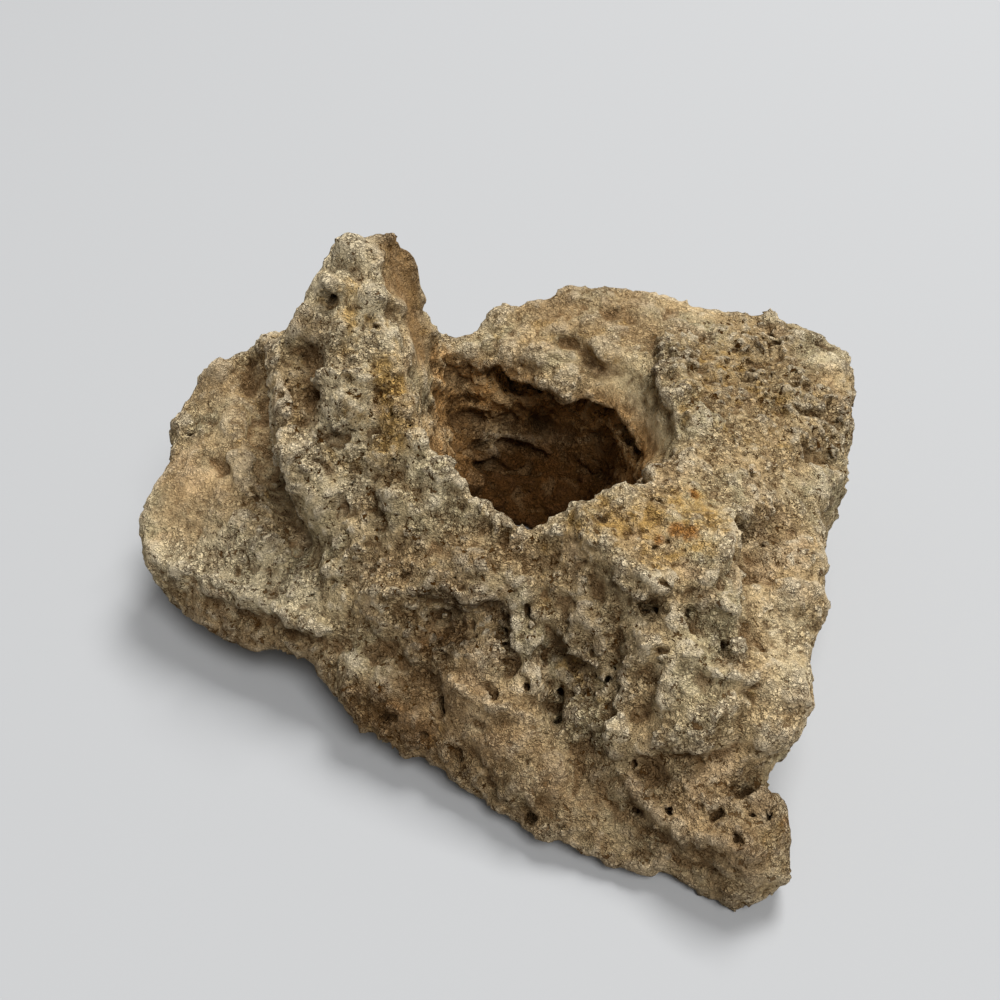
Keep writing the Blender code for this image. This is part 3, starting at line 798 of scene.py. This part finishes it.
def keepOneShell(mesh):
    # Takes away everything but the largest connected shell.
    first, second = edgeEnds(mesh)
    label = np.arange(len(mesh.vertices))
    changed = True
    while changed:
        low = np.minimum(label[first], label[second])
        following = label.copy()
        np.minimum.at(following, first, low)
        np.minimum.at(following, second, low)
        following = following[following]
        changed = bool((following != label).any())
        label = following
    largest = np.bincount(label).argmax()
    shape = bmesh.new()
    shape.from_mesh(mesh)
    loose = [v for v, mark in zip(shape.verts, label) if mark != largest]
    bmesh.ops.delete(shape, geom=loose, context="VERTS")
    shape.to_mesh(mesh)
    shape.free()
    print("one shell", len(mesh.polygons), "faces")


def smoothed(mesh, places, rounds):
    # The places after that many rounds of halfway averaging with their neighbours.
    first, second = edgeEnds(mesh)
    count = len(places)
    neighbours = np.bincount(first, minlength=count) + np.bincount(second, minlength=count)
    for turn in range(rounds):
        total = np.empty_like(places)
        for axis in range(3):
            column = places[:, axis]
            total[:, axis] = np.bincount(first, column[second], count)
            total[:, axis] += np.bincount(second, column[first], count)
        places = (places + total / neighbours[:, None]) / 2
    return places


def blunt(mesh):
    # Shortens thin spikes, and keeps the resting face flat.
    places = placesOf(mesh)
    smooth = smoothed(mesh, places, bluntRounds)
    reach = np.linalg.norm(places - smooth, axis=1)
    share = np.minimum(1, spikeLimit / np.maximum(reach, spikeLimit))
    places = smooth + (places - smooth) * share[:, None]
    places[:, 2] = np.maximum(places[:, 2], 0)
    moveTo(mesh, places)


def thinOut(coral):
    faces = sum(len(face.vertices) - 2 for face in coral.data.polygons)
    thinning = coral.modifiers.new("thinning", "DECIMATE")
    thinning.ratio = min(1, mostTriangles / faces)
    mesh = settled(coral)
    blunt(mesh)
    mesh.shade_smooth()
    print("thinned to", len(mesh.polygons), "triangles")


# Stains, painted light and painted shade: the reach in mm, the strength, and the photograph's pixels
stainValues = {
    "ochre": [
        (11, 1.1, [(391, 362), (396, 400), (398, 425)]), (8, 1, [(380, 449)]),
        (8, 0.9, [(352, 292), (346, 325)]), (20, 0.6, [(350, 310), (360, 400), (350, 450)]),
        (12, 0.8, [(402, 262), (409, 300), (417, 336)]), (9, 0.5, [(300, 380), (300, 420)]),
        (16, 0.9, [(600, 520), (650, 515), (700, 510)]), (9, 0.8, [(692, 545), (655, 560)]),
        (10, 0.8, [(250, 390), (244, 440)]), (7, 0.6, [(262, 480), (258, 495)]),
        (9, 0.6, [(590, 690), (575, 660)]), (8, 0.7, [(786, 820), (770, 830)]),
        (8, 0.6, [(367, 718), (400, 735)]), (10, 0.5, [(726, 430), (780, 436)]), (8, 0.5, [(765, 500)]),
        (10, 0.6, [(700, 380), (690, 410)]), (10, 0.5, [(560, 560), (550, 590)]),
        (9, 0.5, [(470, 800), (450, 770)]), (22, 0.65, [(720, 360), (780, 400)]),
        (8, 0.7, [(395, 730), (425, 740)]), (16, 0.45, [(520, 330), (600, 330)]),
    ],
    "rust": [
        (5, 0.6, [(396, 270), (404, 300)]), (5, 1, [(676, 529), (690, 534)]), (3, 1, [(693, 495)]),
        (3.5, 1, [(661, 540)]), (5, 0.8, [(250, 390)]), (5, 0.8, [(264, 460), (260, 484)]),
        (4, 0.9, [(590, 688)]), (4, 0.8, [(786, 820)]), (4, 0.8, [(367, 718)]),
        (8, 0.6, [(195, 590), (220, 598), (240, 606)]), (5, 0.5, [(547, 595)]),
        (9, 0.8, [(425, 640), (460, 630)]), (9, 0.9, [(385, 715), (420, 735)]),
        (4, 0.6, [(300, 500), (310, 520)]), (5, 0.5, [(776, 436)]), (4, 0.5, [(398, 372)]),
    ],
    # Partly the stone's whitish crust, partly painted light
    "pale": [
        (5, 1, [(365, 384)]), (9, 1, [(300, 450), (320, 455)]),
        (15, 1.3, [(345, 345), (338, 400), (340, 430)]),
        (12, 1.2, [(345, 262), (360, 280), (372, 310)]), (14, 1, [(320, 460), (345, 480)]),
        (14, 1.2, [(350, 318), (365, 330), (395, 335)]), (12, 0.8, [(210, 545), (260, 552)]),
        (13, 1.7, [(316, 272), (334, 290)]), (10, 0.9, [(345, 238), (365, 240)]),
        (13, 0.95, [(170, 560), (230, 590), (300, 600)]), (10, 0.6, [(420, 470), (440, 500)]),
        (12, 0.6, [(636, 400), (656, 430)]), (14, 0.6, [(780, 610), (785, 700)]),
        (8, 0.8, [(472, 716)]), (6, 1, [(330, 280), (340, 290)]), (4, 1, [(355, 260)]),
        (4, 0.9, [(392, 252)]), (6, 0.8, [(278, 398), (278, 416)]), (9, 0.6, [(740, 545), (735, 565)]),
        (6, 0.7, [(625, 560)]), (6, 0.7, [(655, 575)]), (6, 0.7, [(770, 318)]),
        (8, 0.6, [(700, 420), (720, 445)]), (7, 0.5, [(330, 380), (350, 380)]),
        (9, 0.5, [(406, 350), (396, 320)]), (7, 0.5, [(412, 455)]), (9, 0.5, [(670, 700), (680, 690)]),
        (7, 0.6, [(735, 648)]), (8, 0.5, [(560, 770)]), (9, 0.5, [(215, 385), (225, 400)]),
        (7, 0.4, [(530, 784)]),
    ],
    "grey": [
        (18, 0.9, [(640, 390), (655, 420), (665, 440)]), (12, 0.8, [(385, 497)]),
        (12, 0.4, [(350, 450), (360, 470)]), (16, 0.7, [(770, 860), (760, 840)]),
        (14, 0.8, [(585, 730), (570, 740)]), (12, 0.6, [(600, 590), (620, 620)]),
        (14, 0.7, [(270, 440), (262, 470)]), (12, 0.6, [(310, 520), (330, 540)]),
        (16, 0.5, [(690, 640), (700, 690)]), (14, 0.5, [(240, 600), (300, 620)]),
        (12, 0.6, [(670, 345), (668, 380)]), (14, 0.5, [(300, 560), (340, 580)]),
        (14, 0.5, [(560, 600), (610, 640)]),
    ],
    "brown": [
        (13, 1.4, [(440, 392), (452, 420), (466, 452), (486, 480)]),
        (18, 1.4, [(500, 400), (540, 420), (590, 430)]),
        (18, 1.4, [(520, 470), (570, 470), (620, 460)]), (6, 0.8, [(436, 356), (452, 366), (474, 380)]),
    ],
    # Painted shade on tops, slopes, sides and hollows
    "shade": [
        (12, 2.1, [(398, 258), (408, 300), (418, 340)]),
        (16, 1.1, [(190, 470), (180, 500), (210, 500)]), (12, 0.9, [(212, 382), (232, 402)]),
        (10, 0.9, [(312, 340), (308, 392)]), (16, 1, [(430, 570), (480, 575)]),
        (12, 0.8, [(250, 380), (246, 420), (258, 480)]),
        (24, 1.35, [(430, 690), (500, 760), (580, 820)]),
        (24, 1.3, [(620, 850), (700, 870), (750, 850)]), (20, 1.1, [(560, 310), (620, 310)]),
        (16, 0.7, [(560, 600), (600, 640)]), (14, 1.6, [(360, 705), (385, 725), (430, 750)]),
        (14, 1.3, [(700, 795), (760, 800)]), (14, 0.6, [(540, 740), (600, 770)]),
        (12, 0.9, [(180, 615), (260, 645), (320, 665)]), (16, 1.2, [(600, 790), (680, 800)]),
    ],
    "umber": [
        (12, 0.3, [(440, 625), (480, 630), (505, 650)]), (9, 0.7, [(560, 660), (580, 690)]),
        (12, 1.3, [(385, 705), (410, 722), (430, 738)]), (9, 0.9, [(450, 756), (470, 768)]),
        (12, 1.1, [(170, 600), (230, 626), (300, 645)]), (22, 0.5, [(720, 380), (770, 380)]),
        (10, 0.7, [(420, 700), (440, 720)]), (8, 0.8, [(650, 612)]), (7, 0.7, [(745, 530), (748, 560)]),
        (8, 0.6, [(760, 635)]), (7, 0.5, [(560, 343), (587, 361)]), (9, 0.6, [(372, 500)]),
        (10, 0.5, [(470, 770), (520, 810)]), (8, 0.5, [(735, 395)]), (10, 0.5, [(296, 548)]),
        (9, 0.4, [(605, 760), (640, 800)]),
    ],
}
reliefRounds = {"crest": 4, "swell": 40}    # rounds of smoothing that a vertex is measured from


def markColours(mesh, bodyTree, skin):
    # Stores what the finish reads: hollows, overhangs and crests, which lay painted shade and painted
    # highlight, the shaft, roughness, stains, and the marks of painted light and shade.
    places = placesOf(mesh)
    normals = normalsOf(mesh)
    count = len(places)
    hollow = np.zeros(count)
    facing = np.zeros(count)
    for index, place in enumerate(places):
        spot = Vector(place)
        near, normal, face, distance = bodyTree.find_nearest(spot)
        hollow[index] = math.copysign(distance, (near - spot).dot(normal))
        facing[index] = normal.z
    centre, radius, rim, softness = shaftValues.values()
    beside = np.linalg.norm(places[:, :2] - np.array(centre), axis=1)
    within = np.clip((radius - beside) / softness, 0, 1)
    below = np.clip((rim - places[:, 2]) / softness, 0, 1)
    marks = {
        "hollow": hollow, "facing": facing, "shaft": within * below, "rough": roughness(places, skin)}
    for name, rounds in reliefRounds.items():
        marks[name] = ((places - smoothed(mesh, places, rounds)) * normals).sum(axis=1)
    for name, spots in stainValues.items():
        marks[name] = np.zeros(count)
        for reach, strength, pixels in spots:
            spread = bell(farFrom(places, skin.along(pixels, step=10)) / reach)
            marks[name] = np.maximum(marks[name], strength * spread)
    for name, values in marks.items():
        mesh.attributes.new(name, "FLOAT", "POINT").data.foreach_set("value", values)
    print("colours marked")


# The limestone's finish, with painted shade in its hollows, pits, undersides and shaft foot, and painted
# highlight on its crests and ledges
finishValues = {
    "tan": (0.66, 0.465, 0.235, 1),
    "sand": (0.78, 0.585, 0.32, 1),
    "greyStone": (0.635, 0.53, 0.31, 1),
    "pinkTan": (0.715, 0.515, 0.30, 1),
    "cream": (0.89, 0.755, 0.525, 1),
    "white": (0.98, 0.82, 0.52, 1),
    "ochre": (0.62, 0.37, 0.10, 1),
    "rust": (0.46, 0.19, 0.04, 1),
    # Dark brown for painted shade in pits, crevices, hollows and undersides, and for the umber stain
    "umber": (0.075, 0.034, 0.008, 1),
    # The warm brown of painted shade in broad hollows and on the shade marks
    "shadeAndDirt": (0.285, 0.172, 0.078, 1),
    "shaftBrown": (0.88, 0.49, 0.18, 1),
    "shaftDark": (0.11, 0.04, 0.007, 1),
    "ledgeBrown": (0.92, 0.60, 0.28, 1),
    "grainSize": 1.35,          # mm, from one grain to the next, as all the sizes here
    "bendSize": 1.0,
    "bendReach": 1.7,
    "dustSize": 0.4,
    "creviceSize": 1.45,
    "pitSize": 2.0,
    "patchSize": 8,             # patches where the grain stands open
    "broadSize": 26,            # patches of colour
    "middleSize": 11,
    "smallSize": 4.5,
    "wildSize": 15,             # patches of ochre outside the stains
    "reliefDepth": 0.0013,      # m
    "roughness": 0.97,
    "crestGloss": 0.12,         # how much less rough the crests are
    "specular": 0.03,
}
# Where each effect starts and where it is full, in its own noise or mark
finishSpans = {
    "grain": (0.05, 0.62),
    "gap": (0.43, 0.6),
    "crevice": (0.004, 0.038),
    "pit": (0.375, 0.415),
    "open": (0.38, 0.6),
    "rough": (0.25, 1.25),
    "speckle": (0.3, 0.7),
    "sponge": (0.36, 0.64),
    "greyPatch": (0.44, 0.62),
    "sandPatch": (0.45, 0.62),
    "pinkPatch": (0.52, 0.66),
    "greyStain": (0.2, 0.6),
    "wild": (0.58, 0.7),
    "pale": (0.52, 0.85),
    "ochre": (0.72, 1.1),
    "rust": (0.55, 0.85),
    "crest": (0, 0.45),
    "swell": (0.1, 1.1),
    "ledge": (0.05, 0.6),
    "shaftFoot": (12, 44),      # mm above the resting face
    "deep": (0.04, 0.45),       # mm, as in crest, swell and ledge
    "hollow": (1.4, 3.4),       # mm
    "sunken": (0.15, 1.2),      # mm
    "under": (0.05, 0.7),
    "umber": (0.35, 0.62),
    "shade": (0.35, 0.6),
}
# How strong each effect is
finishShares = {
    "open": 0.65,
    "closed": 0.35,             # where the grain doesn't stand open
    "gap": 0.6,
    "rough": 1.2,
    "smooth": 0.1,              # where the stone isn't rough
    "sand": 0.8,
    "pinkTan": 0.6,
    "wild": 0.22,
    "pale": 0.8,
    "ochre": 0.8,
    "rust": 0.85,
    "crestNoise": 0.3,
    "crest": 0.45,
    "swell": 0.35,
    "ochreCrest": 0.4,          # less cream on the ochre
    "ledgeSwell": 0.4,
    "inside": 0.97,             # the most of the shaft's brown
    "deep": 0.65,
    "hollow": 0.45,
    "sunken": 0.6,
    "umber": 0.55,
    "cleanShaft": 0.4,          # less painted shade and dirt in the shaft
    "under": 0.25,
    "mostShadeAndDirt": 0.94,
    "shade": 0.3,
    "shadeNoise": 0.3,
    "mostShade": 0.85,
    "pit": 0.33,
    "roughPit": 0.55,
    "speckle": 0.3,
    "leastLight": 0.86,
    "grainRelief": 0.25,
    "darkRelief": 0.7,
    "spongeRelief": 0.6,
    "dustRelief": 0.5,
}
stainShares = {"pale": (0.6, 0.65), "ochre": (0.5, 1.1), "rust": (0.6, 0.6)}    # of the mark, of the noise


def limestoneFinish():
    material = bpy.data.materials.new("coral_limestone_finish")
    material.use_nodes = True
    bench = Bench(material.node_tree)
    shader = material.node_tree.nodes["Principled BSDF"]
    colour = {name: value for name, value in finishValues.items() if isinstance(value, tuple)}
    place = bench.wire("ShaderNodeTexCoord", "Object") * mmPerMetre

    share = finishShares

    def mark(name):
        return bench.wire("ShaderNodeAttribute", "Fac", {"attribute_name": name})

    def span(value, name):
        return bench.step(value, *finishSpans[name])

    def over(ground, amount, name):
        return bench.mix(amount, ground, colour[name])

    def broken(name):
        # A stain's mark, broken up by the small patches.
        markShare, noiseShare = stainShares[name]
        return mark(name) * markShare + small * noiseShare

    # Grains with gaps between them, thin winding crevices, pits and dust
    bent = bench.bent(place, finishValues["bendSize"], finishValues["bendReach"])
    cell = bench.cells(bent, finishValues["grainSize"])
    grainTop = 1 - span(cell, "grain")
    gap = span(cell, "gap")
    winding = bench.noise(place, finishValues["creviceSize"], 2, 0.6) - 0.5
    crevice = 1 - span(winding.sum("ABSOLUTE", winding), "crevice")
    sponge = bench.noise(bent, finishValues["pitSize"], 3, 0.7)
    pit = 1 - span(sponge, "pit")
    dust = bench.noise(place, finishValues["dustSize"], 1, 0.7)
    patch = bench.noise(place + (7, 1, 4), finishValues["patchSize"], 2)
    openness = span(patch, "open") * share["open"] + share["closed"]
    # How much painted shade the pits, crevices and gaps between grains get
    dark = pit.most(crevice * openness).most(gap * openness * share["gap"])
    fine = span(mark("rough"), "rough") * share["rough"] + share["smooth"]

    # Large patches of colour
    broad = bench.noise(place, finishValues["broadSize"], 3, 0.6)
    middle = bench.noise(place + (11, 3, 17), finishValues["middleSize"], 3, 0.6)
    small = bench.noise(place + (5, 23, 2), finishValues["smallSize"], 3, 0.65)
    ground = bench.mix(span(broad, "greyPatch"), colour["tan"], colour["greyStone"])
    ground = over(ground, span(middle, "sandPatch") * share["sand"], "sand")
    ground = over(ground, span(1 - middle, "pinkPatch") * share["pinkTan"], "pinkTan")
    ground = over(ground, mark("grey") * span(small, "greyStain"), "greyStone")

    # Stains, and pale marks that are partly the stone's whitish crust and partly painted light
    wild = span(bench.noise(place + (3, 41, 13), finishValues["wildSize"], 3, 0.6), "wild")
    ground = over(ground, span(broken("pale"), "pale") * share["pale"], "white")
    ochre = span(broken("ochre") + wild * share["wild"], "ochre")
    ground = over(ground, ochre * share["ochre"], "ochre")
    ground = over(ground, span(broken("rust"), "rust") * share["rust"], "rust")

    # Cream on what stands proud: partly the stone's pale crust on its crests, partly painted highlight on
    # crests and swells
    crest = mark("crest") + (small - 0.5) * share["crestNoise"]
    proud = span(crest, "crest") * share["crest"] * fine + span(mark("swell"), "swell") * share["swell"]
    ground = over(ground, proud * (1 - ochre * share["ochreCrest"]), "cream")

    # Brown in the shaft, lighter on its ledges as painted highlight and darker towards its foot as painted
    # shade
    ledge = span(mark("crest") + mark("swell") * share["ledgeSwell"], "ledge")
    brown = bench.mix(ledge, colour["shaftBrown"], colour["ledgeBrown"])
    height = bench.wire("ShaderNodeSeparateXYZ", "Z", {}, {"Vector": place})
    brown = bench.mix(span(height, "shaftFoot"), colour["shaftDark"], brown)
    inside = mark("shaft").most(mark("brown"))
    ground = bench.mix(inside.least(share["inside"]), ground, brown)

    # Painted shade in what lies deep and on faces turned downwards, with the umber stain; painted shade in
    # broad hollows and on the shade marks; and painted shade in the pits and crevices
    deep = span(0 - mark("crest"), "deep") * share["deep"]
    deep = deep + span(mark("hollow"), "hollow") * share["hollow"]
    stained = mark("umber") * span(1 - small, "umber") * share["umber"]
    shadeAndDirt = (deep + stained) * (1 - inside * share["cleanShaft"])
    # Painted shade under overhangs: faces turned downwards are darker
    under = span(0 - mark("facing"), "under") * share["under"]
    ground = over(ground, (shadeAndDirt + under).least(share["mostShadeAndDirt"]), "umber")
    # Painted shade in broad hollows and on the shade marks, in a warm brown
    sunken = span(0 - mark("swell"), "sunken") * share["sunken"]
    shade = mark("shade") * (span(middle, "shade") * share["shadeNoise"] + share["shade"]) + sunken
    ground = over(ground, shade.least(share["mostShade"]), "shadeAndDirt")
    # Painted shade in the pits, crevices and gaps between grains
    ground = over(ground, dark * (fine * share["roughPit"] + share["pit"]), "umber")
    light = span(dust, "speckle") * share["speckle"] + share["leastLight"]
    tone = bench.wire("ShaderNodeCombineColor", 0, {}, dict.fromkeys(("Red", "Green", "Blue"), light))
    final = bench.mix(1.0, ground, tone, "MULTIPLY")

    # The finest relief, and the shader
    relief = grainTop * share["grainRelief"] - dark * share["darkRelief"]
    relief = relief + span(sponge, "sponge") * share["spongeRelief"] + dust * share["dustRelief"]
    bump = bench.wire("ShaderNodeBump", "Normal", {}, {
        "Height": relief * fine, "Strength": 1.0, "Distance": finishValues["reliefDepth"]})
    worn = finishValues["roughness"] - proud * finishValues["crestGloss"]
    for name, value in (("Base Color", final), ("Normal", bump), ("Roughness", worn)):
        material.node_tree.links.new(value.socket, shader.inputs[name])
    shader.inputs["Specular IOR Level"].default_value = finishValues["specular"]
    return material


def makeCoral():
    material = limestoneFinish()
    body = wornBody()
    skin = Skin(body.data)
    model(body, skin)
    markRoughness(body, skin)
    borings = boringPoints(skin)
    bodyTree = Skin(body.data).tree
    print("worn body", len(body.data.polygons), "faces")
    mesh = porousSkin(body, borings, material)
    bpy.data.objects.remove(borings)
    keepOneShell(mesh)
    thinOut(body)
    markColours(body.data, bodyTree, skin)
    body.name = "coral_skin"
    body.data.name = "coral_skin"
    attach(body, "root")
    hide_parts("coral_head")
    return body


# Floor, light and world

stageValues = {
    "floorSide": 3.0,           # m, as all the places and sizes here
    "floorColour": (0.415, 0.42, 0.425, 1),
    "floorRoughness": 0.8,
    "floorSpecular": 0.15,
    "aim": (0, 0, 0.03),
    "keyPlace": (1.15, 2.0, 3.6),
    "keySize": 1.7,
    "keyPower": 186,
    "fillPlace": (1.2, -1.75, 3.65),
    "fillSize": 2.1,
    "fillPower": 122,
    "skyColour": (0.98, 0.98, 1.0, 1),
    "skyStrength": 0.19,
}


def makeFloor():
    shape = bmesh.new()
    bmesh.ops.create_grid(shape, x_segments=1, y_segments=1, size=stageValues["floorSide"] / 2)
    mesh = bpy.data.meshes.new("floor")
    shape.to_mesh(mesh)
    shape.free()
    floor = shown("floor", mesh)
    material = bpy.data.materials.new("pale_floor")
    material.use_nodes = True
    shader = material.node_tree.nodes["Principled BSDF"]
    shader.inputs["Base Color"].default_value = stageValues["floorColour"]
    shader.inputs["Roughness"].default_value = stageValues["floorRoughness"]
    shader.inputs["Specular IOR Level"].default_value = stageValues["floorSpecular"]
    mesh.materials.append(material)


def makeLight(name):
    data = bpy.data.lights.new(name, "AREA")
    data.energy = stageValues[name + "Power"]
    data.size = stageValues[name + "Size"]
    made = shown(name, data)
    made.location = stageValues[name + "Place"]
    aim = Vector(stageValues["aim"]) - made.location
    made.rotation_euler = aim.to_track_quat("-Z", "Y").to_euler()


def makeWorld():
    world = bpy.data.worlds.new("studio")
    world.use_nodes = True
    background = world.node_tree.nodes["Background"]
    background.inputs["Color"].default_value = stageValues["skyColour"]
    background.inputs["Strength"].default_value = stageValues["skyStrength"]
    bpy.context.scene.world = world


makeCamera()
makeFloor()
makeLight("key")
makeLight("fill")
makeWorld()
bpy.context.scene.view_settings.view_transform = "Standard"
print("stage set")
makeCoral()
